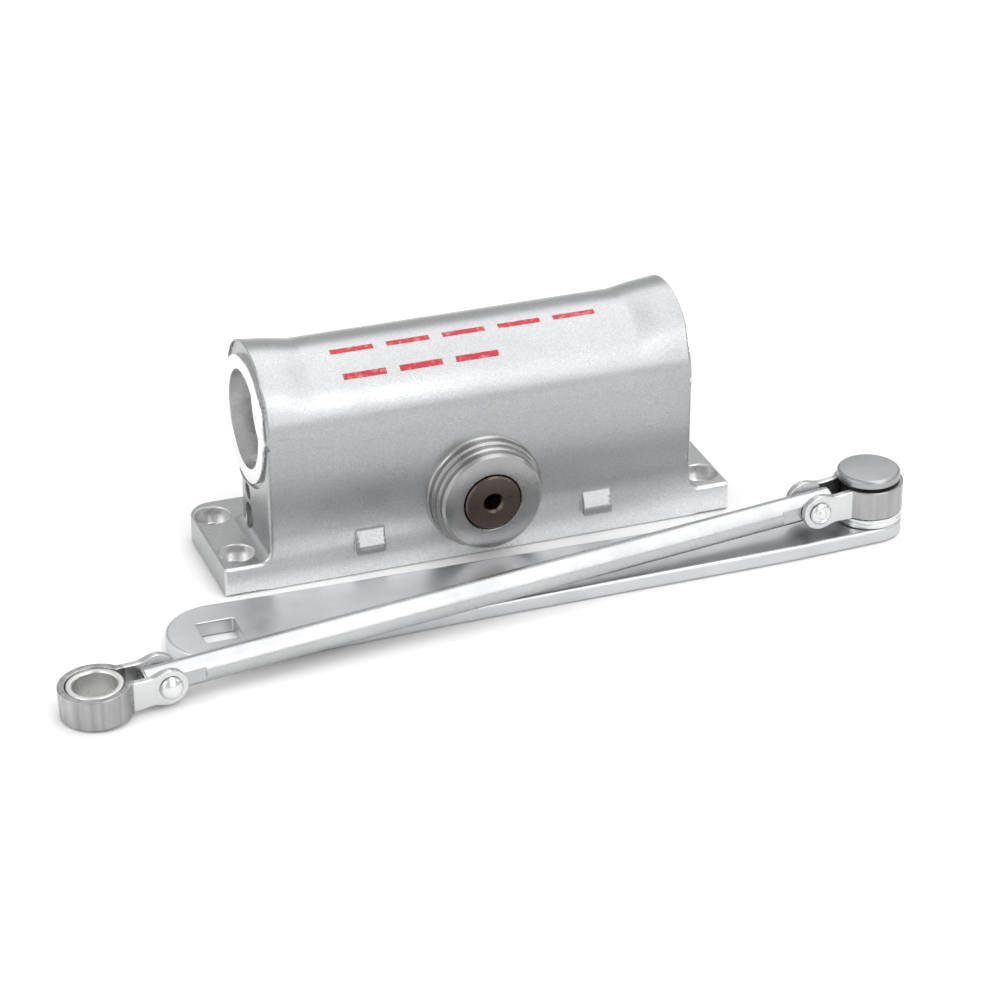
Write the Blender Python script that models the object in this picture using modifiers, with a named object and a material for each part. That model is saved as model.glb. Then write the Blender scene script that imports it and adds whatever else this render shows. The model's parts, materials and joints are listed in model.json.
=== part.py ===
"""A surface door closer and its detached two-piece arm, lying ready for fitting.

Metres, +Z up.  The closer lies on its door face, at z = 0, with the barrel along X.
The pinion shaft runs along Y and its blank end points to -Y.  The arm set lies in front.
"""

import math

import bmesh
import bpy
from mathutils import Euler, Vector

MM = 0.001
GAP = 0.3  # clearance that the meshes keep from each other, mm

# Driving dimensions in mm: the casting.  Its body is centred on the pinion, its base on X = 0.
BASE_LENGTH = 210.4
BODY_DEPTH = 56.6
EAR_THICK = 12.0
FRONT_CORNER = 2.0
BACK_CORNER = 10.0
WEB_HALF_LENGTH = 87.3
WEB_BACK = 9.2
BARREL_RADIUS = 28.3
BARREL_Z = 60.6
BARREL_HALF_LENGTH = 88.4
RING_RADIUS = 25.4
FLARE_START = 68.5
FLARE_RADIUS = 31.0
EAR_FILLET = 4.5
HOLE_X = 97.2
HOLE_Y = 16.3
HOLE_RADIUS = 3.6
COUNTERBORE_RADIUS = 7.1
COUNTERBORE_FLOOR = 6.6
LUG_FROM_PINION = 47.1
LUG_HALF_WIDTH = 5.85
REAR_HOUSING_HALF = 30.0
LOW_VALVE = (0, 18.5)
HIGH_VALVE = (1.2, 28.4)

# The cylinder bore and what runs in it.
BORE_RADIUS = 19.05
PLUG_BORE_RADIUS = 19.6
PISTON_RADIUS = 18.7
PISTON_LEFT = -60.0
PISTON_RIGHT = 26.0
SPRING_LEFT = 15.8
SPRING_RIGHT = 71.5
SPRING_RADIUS = 14.1
WIRE_RADIUS = 1.9
SPRING_TURNS = 4.5

# The pinion.
PINION_X = 0.6
PINION_Z = 27.3
PINION_RADIUS = 11.36
PINION = (PINION_X, 0, PINION_Z)
BOSS_REACH = 10.3
TEETH = 16
PITCH_RADIUS = 17.5
ADDENDUM = 1.9
DEDENDUM = 2.3
PRESSURE_ANGLE = math.radians(20)
BACKLASH = 0.75
SQUARE = 14.3

# The arm set.
ARM_Y = -61.5
ARM_HOLE_X = -117.0
ELBOW_X = 150.4
ARM_THICK = 6.1
ARM_BIG_RADIUS = 20.5
ARM_SMALL_RADIUS = 13.7
ARM_SQUARE = 14.9
FOREARM_TURN = 5.78  # degrees, forearm from the main arm, seen from above
FOREARM_LENGTH = 325.3
STRAP_OUTER = 13.9
STRAP_INNER = 11.05
STRAP_HEIGHT = 12.0
LEG_OUTER = 7.9
LEG_INNER = 5.05
LOBE_RADIUS = 6.9
RIVET_REACH = 26.3
RIVET_RADIUS = 2.9
RIVET_HOLE_RADIUS = 3.2
RIVET_HEAD_RADIUS = 4.6
ELBOW_STRAP_Z = 10.35
END_RIVET_Z = 8.3
ROD_RADIUS = 5.5
TONGUE_THICK = 9.5
TONGUE_PAST_RIVET = 8.4
TONGUE_STEP = 15.0
BUSH_OUTER = 10.75
BUSH_INNER = 8.3

# The left end face of the web, where the speed screws are.
WEB_LEFT = PINION_X - WEB_HALF_LENGTH

# Where the arm set's pivots come.
ELBOW = Vector((ELBOW_X, ARM_Y, ELBOW_STRAP_Z + STRAP_HEIGHT / 2))
FOREARM_YAW = math.radians(180 + FOREARM_TURN)
ALONG = Vector((math.cos(FOREARM_YAW), math.sin(FOREARM_YAW), 0))
ELBOW_RIVET = ELBOW + ALONG * RIVET_REACH
END_RIVET = ELBOW + ALONG * (FOREARM_LENGTH - RIVET_REACH)
END_RIVET.z = END_RIVET_Z
ROD_LENGTH = (END_RIVET - ELBOW_RIVET).length
ROD_PITCH = math.asin((ELBOW_RIVET.z - END_RIVET.z) / ROD_LENGTH)
EYE_PITCH = math.asin((END_RIVET_Z - STRAP_HEIGHT / 2 - 0.9) / RIVET_REACH)

# Turns that bring an object's own Z axis onto the world's X or Y axis.
ALONG_X = (math.pi / 2, 0, math.pi / 2)
ALONG_Y = (-math.pi / 2, 0, 0)
FACING_FRONT = (math.pi / 2, 0, 0)


def clear_scene():
    for old in list(bpy.data.objects):
        bpy.data.objects.remove(old, do_unlink=True)


def new_collection(name, hidden=False):
    made = bpy.data.collections.new(name)
    bpy.context.scene.collection.children.link(made)
    made.hide_render = hidden
    return made


def new_material(name, colour, metallic, roughness):
    made = bpy.data.materials.new(name)
    made.use_nodes = True
    shader = made.node_tree.nodes["Principled BSDF"]
    shader.inputs["Base Color"].default_value = (*colour, 1)
    shader.inputs["Metallic"].default_value = metallic
    shader.inputs["Roughness"].default_value = roughness
    made.diffuse_color = (*colour, 1)
    return made


def place(name, mesh, material, at=(0, 0, 0), turn=(0, 0, 0), cutter=False, parent=None):
    """An object for the mesh, at a spot in mm, among the parts or among the cutters."""
    thing = bpy.data.objects.new(name, mesh)
    thing.location = [v * MM for v in at]
    thing.rotation_euler = turn
    thing.parent = parent
    if cutter:
        CUTTERS.objects.link(thing)
        thing.hide_render = True
        thing.display_type = "WIRE"
    else:
        PARTS.objects.link(thing)
        mesh.materials.append(material)
    return thing


def turned(name, profile, material=None, at=(0, 0, 0), turn=(0, 0, 0), steps=36, **more):
    """A lathe-turned body: the (radius, height) profile swept about the object's own Z."""
    mesh = bpy.data.meshes.new(name)
    closed_ring = min(r for r, h in profile) > 0
    count = len(profile)
    edges = [(i, i + 1) for i in range(count - 1)]
    if closed_ring:
        edges.append((count - 1, 0))
    mesh.from_pydata([(r * MM, 0, h * MM) for r, h in profile], edges, [])
    thing = place(name, mesh, material, at, turn, **more)
    screw = thing.modifiers.new("Turn", "SCREW")
    screw.steps = steps
    screw.render_steps = steps
    screw.use_merge_vertices = True
    screw.merge_threshold = 0.000005
    screw.use_smooth_shade = True
    return thing


def plate(name, outlines, low, high, material=None, at=(0, 0, 0), turn=(0, 0, 0), **more):
    """A flat body: 2D outlines in mm, the first the rim and the rest holes, from low to high."""
    curve = bpy.data.curves.new(name, "CURVE")
    curve.dimensions = "2D"
    curve.fill_mode = "BOTH"
    curve.extrude = (high - low) / 2 * MM
    for outline in outlines:
        spline = curve.splines.new("POLY")
        spline.points.add(len(outline) - 1)
        for point, (x, y) in zip(spline.points, outline):
            point.co = (x * MM, y * MM, 0, 1)
        spline.use_cyclic_u = True
    helper = bpy.data.objects.new(name + "_outline", curve)
    bpy.context.scene.collection.objects.link(helper)
    bpy.context.view_layer.update()
    graph = bpy.context.evaluated_depsgraph_get()
    mesh = bpy.data.meshes.new_from_object(helper.evaluated_get(graph))
    mesh.name = name
    bpy.data.objects.remove(helper)
    shape = bmesh.new()
    shape.from_mesh(mesh)
    bmesh.ops.translate(shape, verts=shape.verts, vec=(0, 0, (low + high) / 2 * MM))
    bmesh.ops.remove_doubles(shape, verts=shape.verts, dist=0.000002)
    bmesh.ops.dissolve_limit(
        shape, angle_limit=math.radians(0.5), verts=shape.verts, edges=shape.edges
    )
    bmesh.ops.recalc_face_normals(shape, faces=shape.faces)
    shape.to_mesh(mesh)
    shape.free()
    mesh.materials.clear()
    return place(name, mesh, material, at, turn, **more)


def block(name, low, high, material=None, **more):
    """A plain box between two corners in mm."""
    mesh = bpy.data.meshes.new(name)
    shape = bmesh.new()
    bmesh.ops.create_cube(shape, size=1)
    size = [(b - a) * MM for a, b in zip(low, high)]
    middle = Vector([(a + b) / 2 * MM for a, b in zip(low, high)])
    bmesh.ops.scale(shape, vec=size, verts=shape.verts)
    bmesh.ops.translate(shape, vec=middle, verts=shape.verts)
    shape.to_mesh(mesh)
    shape.free()
    return place(name, mesh, material, **more)


def rod_cutter(name, radius, length, at, turn=(0, 0, 0), steps=32, **more):
    """A plain cylinder that starts at a spot and runs along its own Z."""
    profile = [(0, length), (radius, length), (radius, 0), (0, 0)]
    return turned(name, profile, at=at, turn=turn, steps=steps, cutter=True, **more)


def combine(target, other, operation):
    step = target.modifiers.new(operation.title() + " " + other.name, "BOOLEAN")
    step.operation = operation
    step.object = other
    step.solver = "EXACT"


def add_bevel(thing, width, segments=2, angle=50):
    bevel = thing.modifiers.new("Soften", "BEVEL")
    bevel.width = width * MM
    bevel.segments = segments
    bevel.limit_method = "ANGLE"
    bevel.angle_limit = math.radians(angle)


def arc(centre, radius, start, end, segments):
    """Points on an arc in mm; the angles are in degrees."""
    points = []
    for i in range(segments + 1):
        angle = math.radians(start + (end - start) * i / segments)
        points.append(
            (centre[0] + radius * math.cos(angle), centre[1] + radius * math.sin(angle))
        )
    return points


def rounded_box(half_x, half_y, radius, segments=5):
    points = []
    for sign_x, sign_y, start in ((1, 1, 0), (-1, 1, 90), (-1, -1, 180), (1, -1, 270)):
        centre = (sign_x * (half_x - radius), sign_y * (half_y - radius))
        points += arc(centre, radius, start, start + 90, segments)
    return points


def smooth(thing, angle=35):
    """Rounded faces shade smoothly, corners sharper than the angle stay crisp."""
    thing.data.shade_smooth()
    thing.data.set_sharp_from_angle(angle=math.radians(angle))


# ---------------------------------------------------------------- the casting


def body_section():
    """The end view of the web and the barrel: round on top, flat in front and behind."""
    back_angle = -math.degrees(math.acos(WEB_BACK / BARREL_RADIUS))
    section = [(-BODY_DEPTH / 2, 0)]
    section += arc((0, BARREL_Z), BARREL_RADIUS, 180, back_angle, 26)
    section += [(WEB_BACK, 0)]
    return section


def base_outline():
    """The base from above: small corners in front, wide ones behind."""
    half_x, half_y = BASE_LENGTH / 2, BODY_DEPTH / 2
    wide, small = BACK_CORNER, FRONT_CORNER
    outline = arc((half_x - wide, half_y - wide), wide, 0, 90, 6)
    outline += arc((wide - half_x, half_y - wide), wide, 90, 180, 6)
    outline += arc((small - half_x, small - half_y), small, 180, 270, 3)
    outline += arc((half_x - small, small - half_y), small, 270, 360, 3)
    return outline


def add_ear_fillets(casting):
    """Fillets where the end faces rise from the ears, one outline mirrored to the other end."""
    end = WEB_HALF_LENGTH
    inside = end - 6
    outline = arc((-end - EAR_FILLET, EAR_THICK + EAR_FILLET), EAR_FILLET, 270, 360, 5)
    outline += [(-inside, EAR_THICK + EAR_FILLET), (-inside, EAR_THICK - 4)]
    outline += [(-end - EAR_FILLET, EAR_THICK - 4)]
    mirrored = [(-x, z) for x, z in reversed(outline)]
    for side, shape in (("left", outline), ("right", mirrored)):
        fillet = plate(
            "add_fillet_" + side,
            [shape],
            -WEB_BACK,
            BODY_DEPTH / 2,
            at=(PINION_X, 0, 0),
            turn=FACING_FRONT,
            cutter=True,
        )
        combine(casting, fillet, "UNION")


def add_collars(casting):
    """The barrel's ends flare out to a sharp rim round a raised machined ring."""
    flare = [
        (12, FLARE_START - 6),
        (BARREL_RADIUS - 0.4, FLARE_START - 6),
        (BARREL_RADIUS - 0.05, FLARE_START),
        (29.0, 73.5),
        (30.0, 79.5),
        (FLARE_RADIUS, BARREL_HALF_LENGTH - 2.1),
        (FLARE_RADIUS - 0.3, BARREL_HALF_LENGTH - 1.5),
        (RING_RADIUS + 0.2, BARREL_HALF_LENGTH - 0.8),
        (RING_RADIUS, BARREL_HALF_LENGTH),
        (12, BARREL_HALF_LENGTH),
    ]
    for side, mirror in (("right", 1), ("left", -1)):
        profile = [(r, mirror * h) for r, h in flare]
        if mirror > 0:
            profile.reverse()
        collar = turned(
            "add_collar_" + side,
            profile,
            at=(PINION_X, 0, BARREL_Z),
            turn=ALONG_X,
            steps=40,
            cutter=True,
        )
        combine(casting, collar, "UNION")


def add_pinion_housing(casting):
    """The block behind the web and the stepped boss on each side."""
    rear = block(
        "add_rear_housing",
        (PINION_X - REAR_HOUSING_HALF, 0, 6),
        (PINION_X + REAR_HOUSING_HALF, BODY_DEPTH / 2 - 0.4, 58),
        cutter=True,
    )
    combine(casting, rear, "UNION")
    face = BODY_DEPTH / 2
    reach = face + BOSS_REACH
    stepped = [
        (0, reach),
        (19.9, reach),
        (20.9, reach - 0.6),
        (20.9, reach - 3.7),
        (22.0, reach - 3.9),
        (22.0, reach - 6.7),
        (23.15, reach - 6.9),
        (23.15, face + 1.2),
        (24.3, face + 0.1),
        (24.3, face - 8),
        (0, face - 8),
    ]
    plain = [(0, reach - 3.6), (22, reach - 3.6), (24.3, face), (24.3, face - 8), (0, face - 8)]
    for side, profile, turn in (("front", stepped, FACING_FRONT), ("rear", plain, ALONG_Y)):
        boss = turned("add_boss_" + side, profile, at=PINION, turn=turn, cutter=True)
        combine(casting, boss, "UNION")


def add_lugs(casting):
    """Two wedges on the front that a cover snaps over."""
    face = BODY_DEPTH / 2
    wedge = [(-26, 19.3), (-26, 9.4), (-31.1, 9.4), (-31.1, 12.6), (-face, 19.3)]
    for side, offset in (("left", -LUG_FROM_PINION), ("right", LUG_FROM_PINION)):
        middle = PINION_X + offset
        lug = plate(
            "add_lug_" + side,
            [wedge],
            middle - LUG_HALF_WIDTH,
            middle + LUG_HALF_WIDTH,
            turn=ALONG_X,
            cutter=True,
        )
        combine(casting, lug, "UNION")


def cut_bores(casting):
    """The cylinder bore, wider at each end for the plugs, and the pinion's cross bore."""
    beyond = 95
    bore = [(0, beyond), (PLUG_BORE_RADIUS, beyond), (PLUG_BORE_RADIUS, 71.6)]
    bore += [(BORE_RADIUS, 71.0), (BORE_RADIUS, -61.2), (PLUG_BORE_RADIUS, -61.8)]
    bore += [(PLUG_BORE_RADIUS, -beyond), (0, -beyond)]
    cylinder = turned(
        "cut_bore", bore, at=(0, 0, BARREL_Z), turn=ALONG_X, steps=38, cutter=True
    )
    combine(casting, cylinder, "DIFFERENCE")
    cross = [
        (0, 45),
        (11.95, 45),
        (11.95, 35),
        (14.6, 35),
        (14.6, 31),
        (15.1, 31),
        (15.1, 9.5),
        (20.2, 9.5),
        (20.2, -24),
        (20.9, -24),
        (20.9, -45),
        (0, -45),
    ]
    pinion_bore = turned(
        "cut_pinion_bore", cross, at=PINION, turn=FACING_FRONT, steps=40, cutter=True
    )
    combine(casting, pinion_bore, "DIFFERENCE")


def cut_screw_holes(casting):
    floor = COUNTERBORE_FLOOR
    profile = [
        (0, 20),
        (COUNTERBORE_RADIUS, 20),
        (COUNTERBORE_RADIUS, floor),
        (HOLE_RADIUS, floor),
        (HOLE_RADIUS, -5),
        (0, -5),
    ]
    for end, sign_x in (("left", -1), ("right", 1)):
        for side, sign_y in (("front", -1), ("back", 1)):
            hole = turned(
                f"cut_screw_{side}_{end}",
                profile,
                at=(sign_x * HOLE_X, sign_y * HOLE_Y, 0),
                steps=24,
                cutter=True,
            )
            combine(casting, hole, "DIFFERENCE")


def cut_valve_seats(casting):
    """Two seats in the left end face, and the oil drilling that joins them to the bore."""
    low = [(0, 45), (3.4, 45), (3.4, 6.5), (5.0, 6), (5.0, -9), (0, -9)]
    high = [(0, 40), (2.2, 40), (2.2, 5.3), (3.3, 5), (3.3, -9), (0, -9)]
    for name, profile, spot in (("low", low, LOW_VALVE), ("high", high, HIGH_VALVE)):
        seat = turned(
            "cut_valve_" + name,
            profile,
            at=(WEB_LEFT, *spot),
            turn=ALONG_X,
            steps=20,
            cutter=True,
        )
        combine(casting, seat, "DIFFERENCE")
    drilling = rod_cutter("cut_oil_drilling", 1.3, 28, at=(-52, 0.7, 17.5), steps=12)
    combine(casting, drilling, "DIFFERENCE")


def build_casting():
    casting = plate(
        "closer_housing",
        [body_section()],
        WEB_LEFT,
        PINION_X + WEB_HALF_LENGTH,
        CAST,
        turn=ALONG_X,
    )
    base = plate("add_base", [base_outline()], 0, EAR_THICK, cutter=True)
    add_bevel(base, 1.0)
    combine(casting, base, "UNION")
    add_ear_fillets(casting)
    add_collars(casting)
    add_pinion_housing(casting)
    add_lugs(casting)
    cut_bores(casting)
    cut_screw_holes(casting)
    cut_valve_seats(casting)
    smooth(casting)


# ---------------------------------------------------------------- in the bore


def ring(name, major, minor, material, at, turn, steps=28, sides=5):
    """A plain sealing ring of round section about the object's own Z."""
    profile = []
    for i in range(sides):
        angle = 2 * math.pi * i / sides
        profile.append((major + minor * math.cos(angle), -minor * math.sin(angle)))
    return turned(name, profile, material, at, turn, steps)


def build_plug(name, inner_face, outward):
    """A screwed end plug; outward is -1 at the left end and 1 at the right."""
    profile = [
        (0, 10.2),
        (18.6, 10.2),
        (19.25, 9.6),
        (19.25, 3.6),
        (17.0, 3.6),
        (17.0, 1.4),
        (19.25, 1.4),
        (19.25, 0.4),
        (18.8, 0),
        (0, 0),
    ]
    if outward < 0:
        profile = [(r, -h) for r, h in reversed(profile)]
    plug = turned(
        name,
        profile,
        STEEL,
        at=(inner_face, 0, BARREL_Z),
        turn=ALONG_X,
        steps=32,
    )
    far = outward * 12
    near = outward * 4.5
    hexagon = [p for p in arc((0, 0), 7.5, 0, 300, 5)]
    socket = plate(
        "cut_socket_" + name,
        [hexagon],
        min(near, far),
        max(near, far),
        at=(inner_face, 0, BARREL_Z),
        turn=ALONG_X,
        cutter=True,
    )
    combine(plug, socket, "DIFFERENCE")
    ring(
        name.replace("plug", "o_ring"),
        18.1,
        0.78,
        RUBBER,
        (inner_face + outward * 2.5, 0, BARREL_Z),
        ALONG_X,
    )
    return plug


def rack_outline(teeth_first, teeth_last):
    """The tool outline that leaves the rack: it is cut away below the pitch line's teeth."""
    pitch = math.pi * 2 * PITCH_RADIUS / TEETH
    slope = math.tan(PRESSURE_ANGLE)
    half = pitch / 4 + BACKLASH / 2
    drop = BARREL_Z - PINION_Z - PITCH_RADIUS
    root = -drop + DEDENDUM
    gaps = []
    for i in range(teeth_first, teeth_last + 1):
        x = PINION_X + i * pitch
        wide = half + ADDENDUM * slope + 1.6 * slope
        narrow = half - DEDENDUM * slope
        gaps.append(
            [
                (x - wide, -drop - ADDENDUM - 1.6),
                (x + wide, -drop - ADDENDUM - 1.6),
                (x + narrow, root),
                (x - narrow, root),
            ]
        )
    return gaps


def build_piston():
    """The piston and its rack, cut in its lower side."""
    pocket = 16.4
    profile = [
        (0, 15.5),
        (pocket, 15.5),
        (pocket, PISTON_RIGHT),
        (18.2, PISTON_RIGHT),
        (PISTON_RADIUS, PISTON_RIGHT - 0.5),
        (PISTON_RADIUS, -52.5),
        (16.7, -52.5),
        (16.7, -55.3),
        (PISTON_RADIUS, -55.3),
        (PISTON_RADIUS, PISTON_LEFT + 0.7),
        (18.0, PISTON_LEFT),
        (0, PISTON_LEFT),
    ]
    piston = turned("piston", profile, IRON, at=(0, 0, BARREL_Z), turn=ALONG_X, steps=36)
    drop = BARREL_Z - PINION_Z - PITCH_RADIUS
    flat = block(
        "cut_rack_flat",
        (-50.2, -25, BARREL_Z - 30),
        (14.9, 25, BARREL_Z - drop - ADDENDUM),
        cutter=True,
    )
    combine(piston, flat, "DIFFERENCE")
    for i, outline in enumerate(rack_outline(-7, 1)):
        slot = plate(
            f"cut_rack_space_{i + 1}",
            [outline],
            -25,
            25,
            at=(0, 0, BARREL_Z),
            turn=FACING_FRONT,
            cutter=True,
        )
        combine(piston, slot, "DIFFERENCE")
    passage = [(0, 40), (2.4, 40), (2.4, -56), (1.2, -57.2), (1.2, -65), (0, -65)]
    drill = turned(
        "cut_check_passage",
        passage,
        at=(0, 0, BARREL_Z + 9),
        turn=ALONG_X,
        steps=20,
        cutter=True,
    )
    combine(piston, drill, "DIFFERENCE")
    smooth(piston)

    ring("piston_seal", 17.75, 0.72, RUBBER, (-53.9, 0, BARREL_Z), ALONG_X)
    ball = bpy.data.meshes.new("check_valve_ball")
    shape = bmesh.new()
    bmesh.ops.create_uvsphere(shape, u_segments=14, v_segments=8, radius=1.9 * MM)
    shape.to_mesh(ball)
    shape.free()
    smooth(place("check_valve_ball", ball, STEEL, at=(-54.0, 0, BARREL_Z + 9)))
    sleeve = [(2.1, 4), (2.1, 0), (1.1, 0), (1.1, 4)]
    turned(
        "check_valve_retainer",
        sleeve,
        STEEL,
        at=(-51.6, 0, BARREL_Z + 9),
        turn=ALONG_X,
        steps=20,
    )
    return piston


def build_spring():
    """The closing spring: a round wire swept along a helix with nearly flat end turns."""
    curve = bpy.data.curves.new("closing_spring", "CURVE")
    curve.dimensions = "3D"
    curve.bevel_depth = WIRE_RADIUS * MM
    curve.bevel_resolution = 2
    curve.use_fill_caps = True
    count = 76
    spline = curve.splines.new("POLY")
    spline.points.add(count)
    low = SPRING_LEFT + WIRE_RADIUS + GAP
    high = SPRING_RIGHT - WIRE_RADIUS - GAP
    for i, point in enumerate(spline.points):
        part = i / count
        angle = 2 * math.pi * SPRING_TURNS * part
        ease = part - 0.11 * math.sin(2 * math.pi * part)
        x = low + (high - low) * ease
        y = SPRING_RADIUS * math.cos(angle)
        z = BARREL_Z + SPRING_RADIUS * math.sin(angle)
        point.co = (x * MM, y * MM, z * MM, 1)
    spring = bpy.data.objects.new("closing_spring", curve)
    curve.materials.append(SPRING_STEEL)
    PARTS.objects.link(spring)
    return spring


# ---------------------------------------------------------------- the pinion and its bearings


def gear_outline():
    """Involute teeth; a tooth points to +Y of the outline, towards the rack."""
    base = PITCH_RADIUS * math.cos(PRESSURE_ANGLE)
    tip = PITCH_RADIUS + ADDENDUM
    root = PITCH_RADIUS - DEDENDUM
    at_pitch = math.tan(PRESSURE_ANGLE) - PRESSURE_ANGLE
    half = math.pi / (2 * TEETH) - BACKLASH / 4 / PITCH_RADIUS
    points = []
    for i in range(TEETH):
        middle = math.pi / 2 + 2 * math.pi * i / TEETH
        flank = []
        for k in range(4):
            radius = max(base, root) + (tip - max(base, root)) * k / 3
            angle = math.acos(min(1, base / radius))
            flank.append((radius, half + at_pitch - (math.tan(angle) - angle)))
        if root < base:
            flank.insert(0, (root, flank[0][1] + 0.015))
        sides = [(r, middle - a) for r, a in flank]
        sides += [(r, middle + a) for r, a in reversed(flank)]
        points += [(r * math.cos(a), r * math.sin(a)) for r, a in sides]
    return points


def build_pinion():
    reach = BODY_DEPTH / 2 + BOSS_REACH
    shaft = [
        (0, reach + 0.8),
        (PINION_RADIUS - 0.7, reach + 0.8),
        (PINION_RADIUS, reach + 0.1),
        (PINION_RADIUS, -reach - 0.6),
        (PINION_RADIUS - 0.5, -reach - 1.1),
        (0, -reach - 1.1),
    ]
    pinion = turned(
        "pinion",
        shaft,
        DARK_STEEL,
        at=PINION,
        turn=FACING_FRONT,
    )
    gear = plate("add_gear", [gear_outline()], -7, 7, at=PINION, turn=FACING_FRONT, cutter=True)
    combine(pinion, gear, "UNION")
    drive = plate(
        "add_drive_square",
        [rounded_box(SQUARE / 2, SQUARE / 2, 0.8, 2)],
        -reach - 13.5,
        -reach + 4,
        at=PINION,
        turn=FACING_FRONT,
        cutter=True,
    )
    combine(pinion, drive, "UNION")
    centre = [(0, 2), (4.3, 2), (4.3, 0.0), (3.4, -1.1), (3.4, -12), (0, -14)]
    front = turned(
        "cut_centre_front",
        centre,
        at=(PINION_X, -reach - 0.8, PINION_Z),
        turn=FACING_FRONT,
        steps=24,
        cutter=True,
    )
    back = turned(
        "cut_centre_back",
        centre,
        at=(PINION_X, reach + 13.5, PINION_Z),
        turn=ALONG_Y,
        steps=24,
        cutter=True,
    )
    combine(pinion, front, "DIFFERENCE")
    combine(pinion, back, "DIFFERENCE")
    smooth(pinion)

    shell = [(14.75, 30.6), (14.75, 12.0), (11.7, 12.0), (11.7, 30.6)]
    lip = [
        (14.25, 34.6),
        (14.25, 31.4),
        (13.0, 31.4),
        (11.7, 32.8),
        (11.7, 34.6),
    ]
    for side, turn in (("front", FACING_FRONT), ("rear", ALONG_Y)):
        turned("pinion_bearing_" + side, shell, BRONZE, PINION, turn, 32)
        turned("pinion_seal_" + side, lip, RUBBER, PINION, turn, 32)

    cap = [
        (16.7, 9.8),
        (15.1, 9.8),
        (15.1, 31),
        (14.6, 31),
        (14.6, 35),
        (11.95, 35),
        (11.95, reach),
        (20.0, reach),
        (20.55, reach - 0.6),
        (20.55, 24.35),
        (19.85, 24.35),
        (19.85, 14.4),
    ]
    cap_ring = turned(
        "rear_bearing_cap",
        list(reversed(cap)),
        STEEL,
        at=PINION,
        turn=ALONG_Y,
        steps=36,
    )
    for i, angle in enumerate((45, 225)):
        x = PINION_X + 16.3 * math.cos(math.radians(angle))
        z = PINION_Z + 16.3 * math.sin(math.radians(angle))
        hole = rod_cutter(
            f"cut_spanner_hole_{i + 1}", 1.5, 8, (x, reach - 4, z), ALONG_Y, 12
        )
        combine(cap_ring, hole, "DIFFERENCE")
    smooth(cap_ring)
    return pinion


def build_valve(name, spot, head, head_length, stem, stem_length, ring_at):
    """A slotted speed screw with an O-ring on its stem; the head is just inside the face."""
    y, z = spot
    start = 2.0
    end = start + head_length
    profile = [
        (0, end + stem_length),
        (0.4, end + stem_length),
        (stem - 0.5, end + stem_length - 4),
        (stem - 0.5, ring_at + 1.0),
        (stem - 1.2, ring_at + 0.9),
        (stem - 1.2, ring_at - 0.9),
        (stem - 0.5, ring_at - 1.0),
        (stem - 0.5, end),
        (head, end - 0.3),
        (head, start + 0.4),
        (head - 0.4, start),
        (0, start),
    ]
    screw = turned(name, profile, STEEL, at=(WEB_LEFT, y, z), turn=ALONG_X, steps=20)
    slot = block(
        "cut_slot_" + name,
        (WEB_LEFT - 3, y - 9, z - 0.55),
        (WEB_LEFT + start + 1.5, y + 9, z + 0.55),
        cutter=True,
    )
    combine(screw, slot, "DIFFERENCE")
    smooth(screw)
    minor = 0.42
    major = stem - 1.2 + GAP + minor
    at = (WEB_LEFT + ring_at, y, z)
    ring(name.replace("screw", "o_ring"), major, minor, RUBBER, at, ALONG_X, 16, 5)
    return screw


# ---------------------------------------------------------------- the arm set


def build_main_arm():
    length = ELBOW_X - ARM_HOLE_X
    lean = math.degrees(math.asin((ARM_BIG_RADIUS - ARM_SMALL_RADIUS) / length))
    outline = arc((ARM_HOLE_X, ARM_Y), ARM_BIG_RADIUS, 90 - lean, 270 + lean, 20)
    outline += [(-3, ARM_Y - 16.7), (112, ARM_Y - 16.0)]
    outline += arc((ELBOW_X, ARM_Y), ARM_SMALL_RADIUS, -86, 90 - lean, 16)
    square = [
        (ARM_HOLE_X + x, ARM_Y + y)
        for x, y in rounded_box(ARM_SQUARE / 2, ARM_SQUARE / 2, 0.9, 2)
    ]
    pivot_hole = arc((ELBOW_X, ARM_Y), 5.25, 0, 345, 23)
    arm = plate("main_arm", [outline, square, pivot_hole], 0, ARM_THICK, ARM_STEEL)
    add_bevel(arm, 1.2)
    smooth(arm)

    top = ELBOW_STRAP_Z + STRAP_HEIGHT
    pivot = [
        (0, top + 4.6),
        (10.6, top + 4.6),
        (11.6, top + 4.2),
        (12.0, top + 3.4),
        (12.0, top + 1.1),
        (11.7, top + 0.8),
        (7.95, top + 0.8),
        (7.95, ARM_THICK + GAP),
        (4.95, ARM_THICK + GAP),
        (4.95, 0.6),
        (4.6, 0.25),
        (0, 0.25),
    ]
    turned("elbow_pivot", pivot, ARM_STEEL, at=(ELBOW_X, ARM_Y, 0), steps=32)
    washer = [
        (13.6, ELBOW_STRAP_Z - GAP - 0.3),
        (13.6, ARM_THICK + GAP + 0.3),
        (13.3, ARM_THICK + GAP),
        (8.25, ARM_THICK + GAP),
        (8.25, ELBOW_STRAP_Z - GAP),
        (13.3, ELBOW_STRAP_Z - GAP),
    ]
    turned("elbow_washer", washer, ARM_STEEL, at=(ELBOW_X, ARM_Y, 0), steps=32)
    return arm


def strap_outline():
    """The bent strap from above: its eye round the origin, its legs towards +X."""
    outer_angle = math.degrees(math.asin(LEG_OUTER / STRAP_OUTER))
    inner_angle = math.degrees(math.asin(LEG_INNER / STRAP_INNER))
    tip = RIVET_REACH
    outline = arc((0, 0), STRAP_OUTER, outer_angle, 360 - outer_angle, 30)
    outline += [(tip, -LEG_OUTER), (tip, -LEG_INNER)]
    outline += arc((0, 0), STRAP_INNER, 360 - inner_angle, inner_angle, 28)
    outline += [(tip, LEG_INNER), (tip, LEG_OUTER)]
    return outline


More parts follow.
